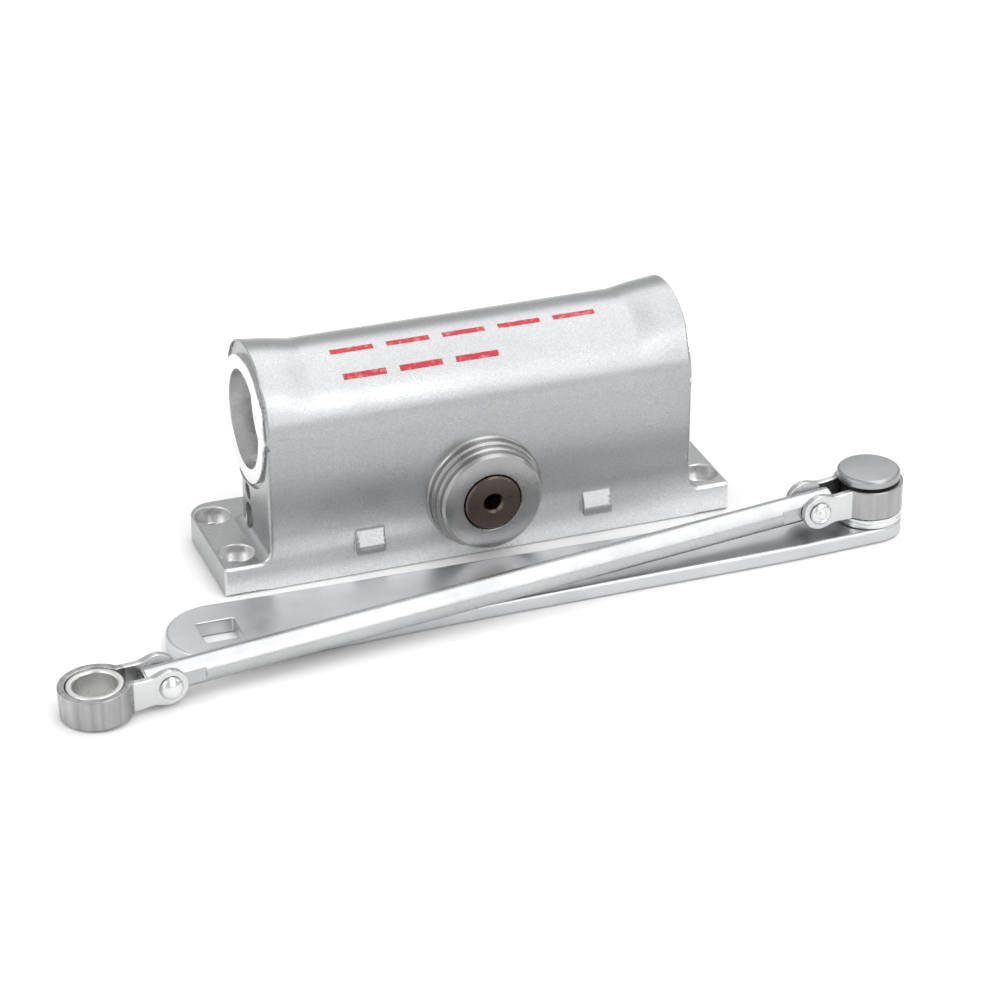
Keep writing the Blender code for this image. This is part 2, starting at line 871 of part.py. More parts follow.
def build_knuckle(prefix, frame):
    """Strap, rivet and bush of one end, in the given frame: eye centre and turn."""
    at, turn = frame
    half = STRAP_HEIGHT / 2
    strap = plate(prefix + "_strap", [strap_outline()], -half, half, ARM_STEEL, at, turn)
    for side, sign in (("front", 1), ("back", -1)):
        low = min(sign * LEG_INNER, sign * LEG_OUTER)
        profile = [
            (0, low + LEG_OUTER - LEG_INNER),
            (LOBE_RADIUS, low + LEG_OUTER - LEG_INNER),
            (LOBE_RADIUS, low),
            (0, low),
        ]
        lobe = turned(
            f"add_{prefix}_lobe_{side}",
            profile,
            at=(RIVET_REACH, 0, 0),
            turn=FACING_FRONT,
            steps=28,
            cutter=True,
            parent=strap,
        )
        combine(strap, lobe, "UNION")
    hole = rod_cutter(
        f"cut_{prefix}_rivet_hole",
        RIVET_HOLE_RADIUS,
        40,
        (RIVET_REACH, 20, 0),
        FACING_FRONT,
        20,
        parent=strap,
    )
    combine(strap, hole, "DIFFERENCE")
    smooth(strap)

    face = LEG_OUTER + GAP
    dome = [(0, face + 2.7), (1.7, face + 2.45), (3.2, face + 1.75), (4.25, face + 0.7)]
    dome += [(RIVET_HEAD_RADIUS, face), (RIVET_RADIUS, face), (RIVET_RADIUS, -face)]
    dome += [(RIVET_HEAD_RADIUS, -face), (4.25, -face - 0.7), (3.2, -face - 1.75)]
    dome += [(1.7, -face - 2.45), (0, -face - 2.7)]
    rivet_at = Vector(at) + Euler(turn).to_matrix() @ Vector((RIVET_REACH, 0, 0))
    rivet_turn = (Euler(turn).to_matrix() @ Euler(FACING_FRONT).to_matrix()).to_euler()
    turned(prefix + "_rivet", dome, ARM_STEEL, rivet_at, rivet_turn, 20)

    bush_half = half - 0.2
    bush = [
        (BUSH_OUTER, bush_half - 0.3),
        (BUSH_OUTER, -bush_half + 0.3),
        (BUSH_OUTER - 0.3, -bush_half),
        (BUSH_INNER + 0.5, -bush_half),
        (BUSH_INNER, -bush_half + 0.5),
        (BUSH_INNER, bush_half - 0.5),
        (BUSH_INNER + 0.5, bush_half),
        (BUSH_OUTER - 0.3, bush_half),
    ]
    turned(prefix + "_bush", bush, BRONZE, at, turn, 32)
    return strap


def build_forearm():
    """The rod between the two rivets, its own +X from the elbow rivet to the end rivet."""
    past = TONGUE_PAST_RIVET
    round_end = 0.8
    profile = [
        (0, ROD_LENGTH + past),
        (ROD_RADIUS - round_end, ROD_LENGTH + past),
        (ROD_RADIUS, ROD_LENGTH + past - round_end),
        (ROD_RADIUS, -past + round_end),
        (ROD_RADIUS - round_end, -past),
        (0, -past),
    ]
    frame = Euler((0, ROD_PITCH, FOREARM_YAW))
    turn = (frame.to_matrix() @ Euler((0, math.pi / 2, 0)).to_matrix()).to_euler()
    rod = turned("forearm_rod", profile, ARM_STEEL, ELBOW_RIVET, turn, 28)
    half = TONGUE_THICK / 2
    beyond = past + 5
    ends = (
        ("elbow", 0, -beyond, TONGUE_STEP),
        ("eye", ROD_LENGTH, ROD_LENGTH - TONGUE_STEP, ROD_LENGTH + beyond),
    )
    for end, spot, low, high in ends:
        for side, sign in (("front", 1), ("back", -1)):
            near, far = sign * half, sign * 12
            cut = block(
                f"cut_{end}_flat_{side}",
                (-12, min(near, far), low),
                (12, max(near, far), high),
                cutter=True,
                parent=rod,
            )
            combine(rod, cut, "DIFFERENCE")
        hole = rod_cutter(
            f"cut_{end}_tongue_hole",
            RIVET_HOLE_RADIUS,
            30,
            (0, 15, spot),
            FACING_FRONT,
            20,
            parent=rod,
        )
        combine(rod, hole, "DIFFERENCE")
    smooth(rod)
    return rod


clear_scene()
PARTS = new_collection("door_closer")
CUTTERS = new_collection("cutters", hidden=True)
CAST = new_material("silver_casting", (0.60, 0.61, 0.62), 0.75, 0.42)
ARM_STEEL = new_material("plated_steel", (0.66, 0.66, 0.65), 0.9, 0.32)
STEEL = new_material("machined_steel", (0.55, 0.55, 0.55), 1.0, 0.3)
IRON = new_material("piston_iron", (0.32, 0.32, 0.33), 0.9, 0.45)
DARK_STEEL = new_material("dark_shaft_steel", (0.10, 0.085, 0.075), 0.9, 0.4)
SPRING_STEEL = new_material("spring_steel", (0.16, 0.16, 0.17), 0.9, 0.35)
BRONZE = new_material("bearing_bronze", (0.55, 0.54, 0.50), 0.9, 0.35)
RUBBER = new_material("black_rubber", (0.02, 0.02, 0.02), 0.0, 0.7)

build_casting()
build_plug("left_end_plug", -62.3, -1)
build_plug("right_end_plug", 71.8, 1)
build_piston()
build_spring()
build_pinion()
build_valve("sweep_valve_screw", LOW_VALVE, 4.6, 3.6, 3.4, 26, 12)
build_valve("latch_valve_screw", HIGH_VALVE, 2.95, 2.6, 2.2, 24, 10)
build_main_arm()
build_knuckle("elbow", (ELBOW, (0, 0, FOREARM_YAW)))
EYE_TURN = (0, -EYE_PITCH, FOREARM_YAW + math.pi)
EYE = END_RIVET - Euler(EYE_TURN).to_matrix() @ Vector((RIVET_REACH, 0, 0))
build_knuckle("eye", (EYE, EYE_TURN))
build_forearm()
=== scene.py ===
"""Looks of a surface door closer and its loose arm set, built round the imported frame."""

import json
import math

import bpy
import numpy as np
from mathutils import Matrix, Vector


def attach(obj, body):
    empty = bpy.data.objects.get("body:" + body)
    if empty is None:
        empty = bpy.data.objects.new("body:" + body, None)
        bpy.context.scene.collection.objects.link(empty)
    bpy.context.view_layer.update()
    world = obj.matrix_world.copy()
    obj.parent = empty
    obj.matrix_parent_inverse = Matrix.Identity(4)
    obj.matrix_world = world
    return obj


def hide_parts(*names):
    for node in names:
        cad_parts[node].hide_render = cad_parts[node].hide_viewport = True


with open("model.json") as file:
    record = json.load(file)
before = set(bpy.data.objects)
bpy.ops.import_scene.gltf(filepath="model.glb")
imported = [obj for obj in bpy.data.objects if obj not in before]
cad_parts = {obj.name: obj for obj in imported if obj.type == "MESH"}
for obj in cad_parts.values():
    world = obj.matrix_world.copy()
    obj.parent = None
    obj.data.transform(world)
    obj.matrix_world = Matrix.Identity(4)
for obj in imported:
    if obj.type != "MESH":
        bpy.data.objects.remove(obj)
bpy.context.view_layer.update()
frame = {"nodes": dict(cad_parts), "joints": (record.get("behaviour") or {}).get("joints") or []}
NODES = frame["nodes"]
JOINTS = {joint["name"]: joint for joint in frame["joints"]}

MM = 0.001

# The casting, in mm, as in the CAD. Its body is centred on the pinion, its base on X = 0.
BASE_HALF, HALF_DEPTH, EAR_THICK = 105.2, 28.3, 12.0
FRONT_CORNER, BACK_CORNER = 1.4, 10.0
WEB_HALF, WEB_BACK, EAR_FILLET = 87.3, 9.2, 4.5
BARREL_R, BARREL_Z = 28.3, 60.6
RING_R, RING_FACE, GROOVE_FLOOR = 25.4, 88.4, 86.2
FLARE_START, FLARE_END, FLARE_HEIGHT = 66.5, 86.3, 2.6
BORE_R, PLUG_BORE_R, LINER_R = 19.05, 19.6, 20.9
HOLE_X, HOLE_Y, HOLE_R = 97.2, 16.3, 3.6
COUNTERBORE_R, COUNTERBORE_FLOOR = 7.1, 6.6
LUG_FROM_PINION, LUG_HALF = 47.1, 5.85
LUG_FACE, LUG_LOW, LUG_HIGH = -31.1, 9.4, 19.3
LUG_SLOPE = (6.7, 2.8)  # a lug's top falls by the first while it comes forward by the second
MOUTH_LEFT, MOUTH_RIGHT = -61.4, 71.2
END_FACE, END_LEAN = 87.6, 0.137
REAR_BLOCK_HALF, REAR_BLOCK_TOP = 30.0, 57.0
CROSS_RADII, CROSS_FRONT, CROSS_BACK = (15.6, 20.2, 20.9), -9.5, 24.0  # the pinion's bore
BOSS_FACE = 38.6
# The valve ports in the left end: Y, Z, then the radius and depth of the wide and narrow parts.
VALVE_PORTS = ((0.0, 18.5, 5.0, 6.0, 3.4, 45.0), (1.2, 28.4, 3.3, 5.0, 2.2, 40.0))
# The base and the web are first drawn this far past the front, and are then cut flat there.
FAR = 60.0

PINION = np.array(JOINTS["pinion_turn"]["pos_m"]) / MM
ELBOW = np.array(JOINTS["elbow_turn"]["pos_m"]) / MM
ELBOW_RIVET = np.array(JOINTS["forearm_tilt"]["pos_m"]) / MM
EYE_RIVET = np.array(JOINTS["eye_tilt"]["pos_m"]) / MM
SIDEWAYS = np.array(JOINTS["eye_tilt"]["axis"])
LEVEL = (EYE_RIVET - ELBOW_RIVET) * (1, 1, 0)
LEVEL = LEVEL / np.linalg.norm(LEVEL)
WEB_LEFT = PINION[0] - WEB_HALF

# The arm set, in mm.
HUB_X, HUB_R, TIP_R = -117.0, 20.5, 13.7
ARM_THICK, SQUARE_HALF, STUD_HOLE_R = 6.1, 7.45, 5.25
STRAP_HALF, STRAP_BORE_R, STRAP_EYE_R = 6.0, 11.05, 14.2
LEG_INSIDE, LEG_OUTSIDE = 5.05, 7.9
RIVET_REACH, RIVET_HOLE_R, RIVET_HEAD = 26.3, 3.2, 8.2
ROD_LENGTH = float(np.linalg.norm(EYE_RIVET - ELBOW_RIVET))
ROD_R, TONGUE_REACH, FLAT_LENGTH, FLAT_HALF = 5.5, 8.4, 15.0, 4.75
STUD_CAP_R, WASHER_R = 12.5, 13.6

DASH_PITCH, DASH_LENGTH, DASH_HEIGHT = 22.8, 17.4, 2.6
DASH_ROWS = ((18, -55, 5), (42.5, -53, 3))  # degrees from the top, first X, number of dashes
SKY_ARCH, SKY_FILL, SKY_LEFT = 2.3, 0.58, 1.2
CAMERA_AT, CAMERA_LENS = (-0.4229, -1.2018, 0.6885), 130.2
CAMERA_PITCH, CAMERA_YAW = 61.93, -20.13

# The eye lies on the floor, so its strap tips a little from its rivet down to it.
EYE_PITCH = math.asin((EYE_RIVET[2] - STRAP_HALF - 0.9) / RIVET_REACH)
EYE_TOWARD = -LEVEL * math.cos(EYE_PITCH) + np.array([0, 0, math.sin(EYE_PITCH)])
EYE_UP = LEVEL * math.sin(EYE_PITCH) + np.array([0, 0, math.cos(EYE_PITCH)])
EYE = EYE_RIVET - EYE_TOWARD * RIVET_REACH


# ---------------------------------------------------------------- fields: signed distances in mm


def join(a, b, r=0.0):
    """Union of two fields with a fillet of radius r."""
    u = np.maximum(r - a, 0)
    v = np.maximum(r - b, 0)
    return np.maximum(r, np.minimum(a, b)) - np.sqrt(u * u + v * v)


def meet(a, b, r=0.0):
    """Intersection of two fields with its edges rounded to radius r."""
    return -join(-a, -b, r)


def cut(a, b, r=0.0):
    return meet(a, -b, r)


def slab(v, low, high):
    return np.maximum(low - v, v - high)


def rounded_plan(x, y, half_x, half_y, r):
    qx = np.abs(x) - half_x + r
    qy = np.abs(y) - half_y + r
    outside = np.sqrt(np.maximum(qx, 0) ** 2 + np.maximum(qy, 0) ** 2)
    return outside + np.minimum(np.maximum(qx, qy), 0) - r


def outline(x, y, points):
    """Exact signed distance to a closed polygon in the plane."""
    best = np.full(x.shape, 1e9)
    inside = np.zeros(x.shape, bool)
    for (ax, ay), (bx, by) in zip(points, points[1:] + points[:1]):
        ex, ey = bx - ax, by - ay
        t = np.clip(((x - ax) * ex + (y - ay) * ey) / (ex * ex + ey * ey), 0, 1)
        best = np.minimum(best, (x - ax - t * ex) ** 2 + (y - ay - t * ey) ** 2)
        if ay != by:
            across = (ay > y) != (by > y)
            inside ^= across & (x < ax + (y - ay) * ex / ey)
    return np.where(inside, -1, 1) * np.sqrt(best)


def smooth_step(v, low, high):
    t = np.clip((v - low) / (high - low), 0, 1)
    return t * t * (3 - 2 * t)


# ---------------------------------------------------------------- from a field to a mesh


def gradient(field, p):
    step = 0.02
    g = np.empty_like(p)
    for k in range(3):
        move = np.zeros(3)
        move[k] = step
        g[:, k] = field(p + move) - field(p - move)
    return g / np.maximum(np.linalg.norm(g, axis=1, keepdims=True), 1e-9)


def sample_grid(field, axes):
    """The field at every grid node, one slab of X at a time."""
    nx, ny, nz = (len(a) for a in axes)
    values = np.empty((nx, ny, nz), np.float32)
    yy, zz = np.meshgrid(axes[1], axes[2], indexing="ij")
    rows = max(1, 200000 // (ny * nz))
    for start in range(0, nx, rows):
        xs = axes[0][start : start + rows]
        p = np.empty((len(xs), ny, nz, 3))
        p[..., 0] = xs[:, None, None]
        p[..., 1] = yy
        p[..., 2] = zz
        values[start : start + rows] = field(p.reshape(-1, 3)).reshape(len(xs), ny, nz)
    return values


def crossings(field, axes, values, axis):
    """Points where the surface crosses the grid's edges along one axis, and their edges."""
    a = [slice(None)] * 3
    b = [slice(None)] * 3
    a[axis], b[axis] = slice(0, -1), slice(1, None)
    first, second = values[tuple(a)] < 0, values[tuple(b)] < 0
    index = np.argwhere(first != second)
    leaving = first[tuple(index.T)]
    low = np.stack([axes[k][index[:, k]] for k in range(3)], axis=1)
    high = low.copy()
    high[:, axis] = axes[axis][index[:, axis] + 1]
    f_low, f_high = field(low), field(high)
    for _ in range(6):
        t = np.clip(f_low / (f_low - f_high + 1e-12), 0.05, 0.95)[:, None]
        middle = low + (high - low) * t
        f = field(middle)
        same = (f < 0) == (f_low < 0)
        low[same], f_low[same] = middle[same], f[same]
        other = ~same
        high[other], f_high[other] = middle[other], f[other]
    t = np.clip(f_low / (f_low - f_high + 1e-12), 0, 1)[:, None]
    return index, leaving, low + (high - low) * t


def ticks(*zones):
    """Grid lines along one axis, from zones of (low, high, cell size)."""
    lines = []
    for low, high, cell in zones:
        count = max(1, math.ceil((high - low) / cell))
        lines += list(np.linspace(low, high, count, endpoint=False))
    return np.array(lines + [zones[-1][1]])


def mesh_of_field(name, field, axes):
    """Dual contouring: one point a crossed cell, set on the edges and corners inside it."""
    values = sample_grid(field, axes)
    shape = values.shape
    stride = np.array([shape[1] * shape[2], shape[2], 1])
    cells, normals, points, quads = [], [], [], []
    for axis in range(3):
        index, leaving, where = crossings(field, axes, values, axis)
        normal = gradient(field, where)
        u, v = [k for k in range(3) if k != axis]
        corner = index @ stride
        ring = [corner - stride[u] - stride[v], corner - stride[v], corner, corner - stride[u]]
        turn = leaving if axis != 1 else ~leaving
        ring = np.stack(ring, axis=1)
        quads.append(np.where(turn[:, None], ring, ring[:, ::-1]))
        for k in range(4):
            cells.append(ring[:, k])
            normals.append(normal)
            points.append(where)
    cells, place = np.unique(np.concatenate(cells), return_inverse=True)
    normals, points = np.concatenate(normals), np.concatenate(points)
    count = len(cells)
    hits = np.bincount(place, minlength=count)[:, None]
    middle = np.stack([np.bincount(place, points[:, k], count) for k in range(3)], 1) / hits
    offset = (normals * (points - middle[place])).sum(1)
    left = np.zeros((count, 3, 3))
    right = np.zeros((count, 3))
    for i in range(3):
        right[:, i] = np.bincount(place, normals[:, i] * offset, count)
        for j in range(3):
            left[:, i, j] = np.bincount(place, normals[:, i] * normals[:, j], count)
    left += np.eye(3) * 0.02 * hits[:, :, None]
    shift = np.linalg.solve(left, right[:, :, None])[:, :, 0]
    spots = np.unravel_index(cells, shape)
    reach = 0.75 * np.stack([np.diff(axes[k])[spots[k]] for k in range(3)], axis=1)
    vertices = middle + np.clip(shift, -reach, reach)
    for _ in range(3):
        f = field(vertices)[:, None]
        g = gradient(field, vertices)
        vertices = vertices - np.clip(f, -0.3, 0.3) * g
    order = np.concatenate(quads)
    faces = np.searchsorted(cells, order)
    mesh = bpy.data.meshes.new(name)
    mesh.from_pydata((vertices * MM).tolist(), [], faces.tolist())
    mesh.polygons.foreach_set("use_smooth", [True] * len(faces))
    corners = vertices[faces]
    inner = corners * 0.8 + corners.mean(1, keepdims=True) * 0.2
    bent = gradient(field, inner.reshape(-1, 3))
    mesh.normals_split_custom_set(bent.tolist())
    mesh.update()
    return mesh


# ---------------------------------------------------------------- turned pieces


def softened(profile, radius, closed):
    """The profile with each corner replaced by a small arc, as on a turned edge."""
    steps = 3
    points = [Vector(p) for p in profile]
    count = len(points)
    result = []
    for i, here in enumerate(points):
        if not closed and i in (0, count - 1):
            result.append(tuple(here))
            continue
        before, after = points[i - 1] - here, points[(i + 1) % count] - here
        angle = before.angle(after, math.pi)
        if angle > math.radians(165) or here.x < 1e-6:
            result.append(tuple(here))
            continue
        reach = min(radius / math.tan(angle / 2), before.length * 0.45, after.length * 0.45)
        start, end = here + before.normalized() * reach, here + after.normalized() * reach
        for k in range(steps + 1):
            t = k / steps
            point = start * (1 - t) ** 2 + here * 2 * t * (1 - t) + end * t * t
            result.append(tuple(point))
    return result


def lathe_mesh(name, profile, steps, radius, to_world):
    """A turned body from (radius, height) points in mm, its corners softened."""
    closed = min(r for r, h in profile) > 0
    rim = softened(profile, radius, closed)
    vertices, faces = [], []
    starts = []
    for r, h in rim:
        starts.append(len(vertices))
        if r < 1e-6:
            vertices.append((0, 0, h))
            continue
        for k in range(steps):
            a = 2 * math.pi * k / steps
            vertices.append((r * math.cos(a), r * math.sin(a), h))
    pairs = list(zip(range(len(rim)), range(1, len(rim))))
    if closed:
        pairs.append((len(rim) - 1, 0))
    for i, j in pairs:
        a, b = starts[i], starts[j]
        for k in range(steps):
            n = (k + 1) % steps
            if rim[i][0] < 1e-6:
                faces.append((a, b + k, b + n))
            elif rim[j][0] < 1e-6:
                faces.append((a + k, b, a + n))
            else:
                faces.append((a + k, b + k, b + n, a + n))
    mesh = bpy.data.meshes.new(name)
    mesh.from_pydata([(x * MM, y * MM, z * MM) for x, y, z in vertices], [], faces)
    mesh.transform(to_world)
    mesh.shade_smooth()
    mesh.set_sharp_from_angle(angle=math.radians(38))
    return mesh


def place_frame(origin, z_axis, x_hint=(1, 0, 0)):
    """Matrix in metres that takes a piece's own frame in metres to the world."""
    z = Vector(z_axis).normalized()
    x = Vector(x_hint)
    x = (x - z * x.dot(z)).normalized()
    y = z.cross(x)
    turn = Matrix((x, y, z)).transposed().to_4x4()
    return Matrix.Translation(Vector(origin) * MM) @ turn


# ---------------------------------------------------------------- materials


class Paint:
    """A Principled material whose colour, roughness and bump are built from noise."""

    def __init__(self, name, colour, metallic, roughness):
        self.material = bpy.data.materials.new(name)
        self.material.use_nodes = True
        self.tree = self.material.node_tree
        self.shader = self.tree.nodes["Principled BSDF"]
        self.shader.inputs["Metallic"].default_value = metallic
        self.shader.inputs["Roughness"].default_value = roughness
        self.coords = self.tree.nodes.new("ShaderNodeTexCoord").outputs["Object"]
        self.colour = self.rgb(colour)
        self.height = None
        self.rough = self.value(roughness)

    def value(self, number):
        node = self.tree.nodes.new("ShaderNodeValue")
        node.outputs[0].default_value = number
        return node.outputs[0]

    def rgb(self, colour):
        node = self.tree.nodes.new("ShaderNodeRGB")
        node.outputs[0].default_value = (*colour, 1)
        return node.outputs[0]

    def math(self, operation, a, b=None):
        node = self.tree.nodes.new("ShaderNodeMath")
        node.operation = operation
        for socket, item in zip(node.inputs, (a, b)):
            if item is None:
                continue
            if isinstance(item, (int, float)):
                socket.default_value = item
            else:
                self.tree.links.new(item, socket)
        return node.outputs[0]

    def noise(self, scale, detail, stretch=(1, 1, 1), coords=None):
        mapping = self.tree.nodes.new("ShaderNodeMapping")
        mapping.inputs["Scale"].default_value = stretch
        self.tree.links.new(coords or self.coords, mapping.inputs["Vector"])
        node = self.tree.nodes.new("ShaderNodeTexNoise")
        node.inputs["Scale"].default_value = scale
        node.inputs["Detail"].default_value = detail
        self.tree.links.new(mapping.outputs[0], node.inputs["Vector"])
        return node.outputs["Fac"]

    def cells(self, scale):
        node = self.tree.nodes.new("ShaderNodeTexVoronoi")
        node.inputs["Scale"].default_value = scale
        self.tree.links.new(self.coords, node.inputs["Vector"])
        split = self.tree.nodes.new("ShaderNodeSeparateColor")
        self.tree.links.new(node.outputs["Color"], split.inputs[0])
        return split.outputs[0]

    def xyz(self):
        node = self.tree.nodes.new("ShaderNodeSeparateXYZ")
        self.tree.links.new(self.coords, node.inputs[0])
        return node.outputs

    def spread(self, factor, low, high, from_low=0.3, from_high=0.7):
        node = self.tree.nodes.new("ShaderNodeMapRange")
        values = (from_low, from_high, low, high)
        for socket, number in zip(list(node.inputs)[1:5], values):
            socket.default_value = number
        self.tree.links.new(factor, node.inputs[0])
        return node.outputs[0]

    def mix(self, factor, a, b, blend="MIX"):
        node = self.tree.nodes.new("ShaderNodeMix")
        node.data_type = "RGBA"
        node.blend_type = blend
        for socket, item in ((node.inputs[0], factor), (node.inputs[6], a), (node.inputs[7], b)):
            if isinstance(item, (int, float)):
                socket.default_value = item
            elif isinstance(item, tuple):
                socket.default_value = (*item, 1)
            else:
                self.tree.links.new(item, socket)
        return node.outputs[2]

    def tint(self, factor, low, high):
        """Multiply the colour by a grey that goes from low to high with the factor."""
        grey = self.spread(factor, low, high)
        self.colour = self.mix(1.0, self.colour, grey, "MULTIPLY")

    def distance(self, a, b, centre_a, centre_b):
        """How far the point (a, b) in metres is from a centre in mm."""
        a = self.math("SUBTRACT", a, centre_a * MM)
        b = self.math("SUBTRACT", b, centre_b * MM)
        squares = self.math("ADD", self.math("POWER", a, 2), self.math("POWER", b, 2))
        return self.math("SQRT", squares)

    def add_rough(self, factor, low, high):
        self.rough = self.math("ADD", self.rough, self.spread(factor, low, high))

    def add_bump(self, factor, depth_mm):
        scaled = self.math("MULTIPLY", factor, depth_mm * MM)
        self.height = scaled if self.height is None else self.math("ADD", self.height, scaled)

    def done(self):
        links = self.tree.links
        links.new(self.colour, self.shader.inputs["Base Color"])
        links.new(self.rough, self.shader.inputs["Roughness"])
        if self.height is not None:
            bump = self.tree.nodes.new("ShaderNodeBump")
            bump.inputs["Distance"].default_value = 1.0
            links.new(self.height, bump.inputs["Height"])
            links.new(bump.outputs[0], self.shader.inputs["Normal"])
        return self.material


def rings_about(paint, centre, axis, scale):
    """Noise that varies only with the distance from an axis: the marks of a lathe tool."""
    x, y, z = paint.xyz()
    across = {"x": (y, z), "y": (x, z), "z": (x, y)}[axis]
    spots = {"x": (centre[1], centre[2]), "y": (centre[0], centre[2]), "z": (centre[0], centre[1])}
    radius = paint.distance(*across, *spots[axis])
    combine = paint.tree.nodes.new("ShaderNodeCombineXYZ")
    paint.tree.links.new(radius, combine.inputs[0])
    return paint.noise(scale, 2, coords=combine.outputs[0])


def silver_casting():
    paint = Paint("silver_painted_casting", (0.41, 0.415, 0.42), 0.8, 0.28)
    paint.tint(paint.noise(14, 4), 0.96, 1.04)
    paint.tint(paint.cells(2400), 0.93, 1.07)
    paint.add_rough(paint.noise(60, 4), -0.02, 0.04)
    paint.add_bump(paint.noise(120, 2), 0.008)
    x, y, z = paint.xyz()
    # Painted light: the front is paler along its foot, a painted reflection of the bright floor in
    # front of it.
    foot = paint.spread(z, 1.0, 0.0, 10 * MM, 22 * MM)
    front = paint.spread(y, 1.0, 0.0, (0.2 - HALF_DEPTH) * MM, (1.3 - HALF_DEPTH) * MM)
    flat = paint.spread(y, 0.0, 1.0, (-0.4 - HALF_DEPTH) * MM, (-0.1 - HALF_DEPTH) * MM)
    painted_foot_light = paint.math("MULTIPLY", paint.math("MULTIPLY", foot, front), flat)
    painted_light_lift = paint.math("ADD", paint.math("MULTIPLY", painted_foot_light, 0.9), 1.0)
    paint.colour = paint.mix(1.0, paint.colour, painted_light_lift, "MULTIPLY")
    # The counterbores in the ears are cut after painting, so their walls are bare.
    sides = paint.math("ABSOLUTE", x), paint.math("ABSOLUTE", y)
    from_hole = paint.distance(*sides, HOLE_X, HOLE_Y)
    near = paint.math("LESS_THAN", from_hole, (COUNTERBORE_R + 0.25) * MM)
    bare = paint.math("MULTIPLY", near, paint.math("LESS_THAN", z, (EAR_THICK + 0.2) * MM))
    paint.colour = paint.mix(bare, paint.colour, (0.78, 0.78, 0.78))
    # Short plain red dashes printed on the barrel, in two rows along it.
    height = paint.math("SUBTRACT", z, BARREL_Z * MM)
    angle = paint.math("ARCTAN2", paint.math("MULTIPLY", y, -1), height)
    wobble = paint.math("MULTIPLY", paint.math("SUBTRACT", paint.noise(700, 3), 0.5), 0.0004)
    mask = None
    for degrees, start, count in DASH_ROWS:
        arc = paint.math("SUBTRACT", angle, math.radians(degrees))
        away = paint.math("ABSOLUTE", paint.math("MULTIPLY", arc, BARREL_R * MM))
        high = paint.math("LESS_THAN", paint.math("ADD", away, wobble), DASH_HEIGHT / 2 * MM)
        steps = paint.math("DIVIDE", paint.math("SUBTRACT", x, start * MM), DASH_PITCH * MM)
        dash = paint.math("LESS_THAN", paint.math("FRACT", steps), DASH_LENGTH / DASH_PITCH)
        after = paint.math("GREATER_THAN", steps, 0)
        before = paint.math("LESS_THAN", steps, count)
        inside = paint.math("MULTIPLY", after, before)
        row = paint.math("MULTIPLY", paint.math("MULTIPLY", high, dash), inside)
        mask = row if mask is None else paint.math("MAXIMUM", mask, row)
    worn = paint.math("MULTIPLY", mask, paint.spread(paint.noise(420, 3), 0.62, 0.95, 0.3, 0.5))
    paint.colour = paint.mix(worn, paint.colour, (0.36, 0.015, 0.025))
    return paint.done()


def bare_metal(name, colour, roughness, centre=None, axis="z", depth=0.02, along=None):
    paint = Paint(name, colour, 0.95, roughness)
    paint.tint(paint.noise(40, 4), 0.92, 1.05)
    paint.add_rough(paint.noise(150, 3), -0.05, 0.08)
    if centre is not None:
        marks = rings_about(paint, centre, axis, 1600)
        paint.add_bump(marks, depth)
        paint.tint(marks, 0.95, 1.05)
    if along is not None:
        streaks = paint.noise(900, 3, stretch=along)
        paint.add_bump(streaks, depth)
        paint.tint(streaks, 0.95, 1.05)
    paint.add_bump(paint.noise(500, 2), depth * 0.5)
    return paint.done()


def strap_metal(name, centre, eye_painted_shade, bright):
    """A bent strap with drawing marks down it; its eye is darker than its legs, which is painted
    shade.
    """
    paint = Paint(name, (0.64, 0.645, 0.65), 0.95, 0.27)
    x, y, z = paint.xyz()
    from_centre = paint.distance(x, y, centre[0], centre[1])
    eye = paint.math("LESS_THAN", from_centre, STRAP_EYE_R * MM)
    streaks = paint.noise(260, 2, stretch=(1, 1, 0.03))
    # Painted shade: the eye's grey is darker than the legs' colour; the streaks in it are drawing
    # marks.
    drawn_marks_and_shade = paint.mix(1.0, paint.spread(streaks, eye_painted_shade, bright), (1.0, 1.0, 1.01), "MULTIPLY")
    paint.colour = paint.mix(eye, paint.colour, drawn_marks_and_shade)
    paint.tint(paint.noise(40, 4), 0.93, 1.04)
    paint.add_rough(paint.noise(150, 3), -0.04, 0.08)
    paint.add_bump(paint.noise(400, 2), 0.004)
    return paint.done()


def rubber():
    paint = Paint("black_rubber_skin", (0.02, 0.02, 0.02), 0.0, 0.6)
    paint.tint(paint.noise(200, 3), 0.8, 1.2)
    paint.add_bump(paint.noise(900, 3), 0.02)
    return paint.done()


CAST = silver_casting()
MACHINED = bare_metal("machined_face", (0.86, 0.86, 0.86), 0.26, (0, 0, BARREL_Z), "x", 0.008)
BOSS_METAL = bare_metal("boss_face", (0.36, 0.36, 0.36), 0.28, PINION, "y", 0.008)
DARK = bare_metal("dark_shaft", (0.11, 0.088, 0.075), 0.30, PINION, "y", 0.04)
PLATED = bare_metal("plated_steel_skin", (0.74, 0.745, 0.75), 0.26, depth=0.006)
ROD_METAL = bare_metal("drawn_rod_skin", (0.475, 0.48, 0.485), 0.26, depth=0.002)
ARM_FLAT = bare_metal("arm_flat_skin", (0.60, 0.607, 0.62), 0.34, depth=0.006)
CAP_METAL = bare_metal("cap_skin", (0.39, 0.395, 0.40), 0.33, ELBOW, "z", 0.008)
EYE_STRAP = strap_metal("eye_strap_skin", EYE, 0.28, 0.45)
ELBOW_STRAP = strap_metal("elbow_strap_skin", ELBOW, 0.33, 0.45)
STEEL = bare_metal("turned_steel_skin", (0.50, 0.50, 0.50), 0.3, (0, 0, BARREL_Z), "x")
BRONZE = bare_metal("bearing_skin", (0.70, 0.70, 0.69), 0.28)
# Painted shade: the elbow's sleeve is near black where it sits in the shade between the strap's
# legs.
SLEEVE_PAINTED_SHADE = bare_metal("painted_shade_sleeve_skin", (0.07, 0.07, 0.072), 0.4)
IRON = bare_metal("piston_skin", (0.30, 0.30, 0.31), 0.4, along=(0.05, 1, 1))
SPRING = bare_metal("spring_skin", (0.14, 0.14, 0.15), 0.35)
RUBBER = rubber()


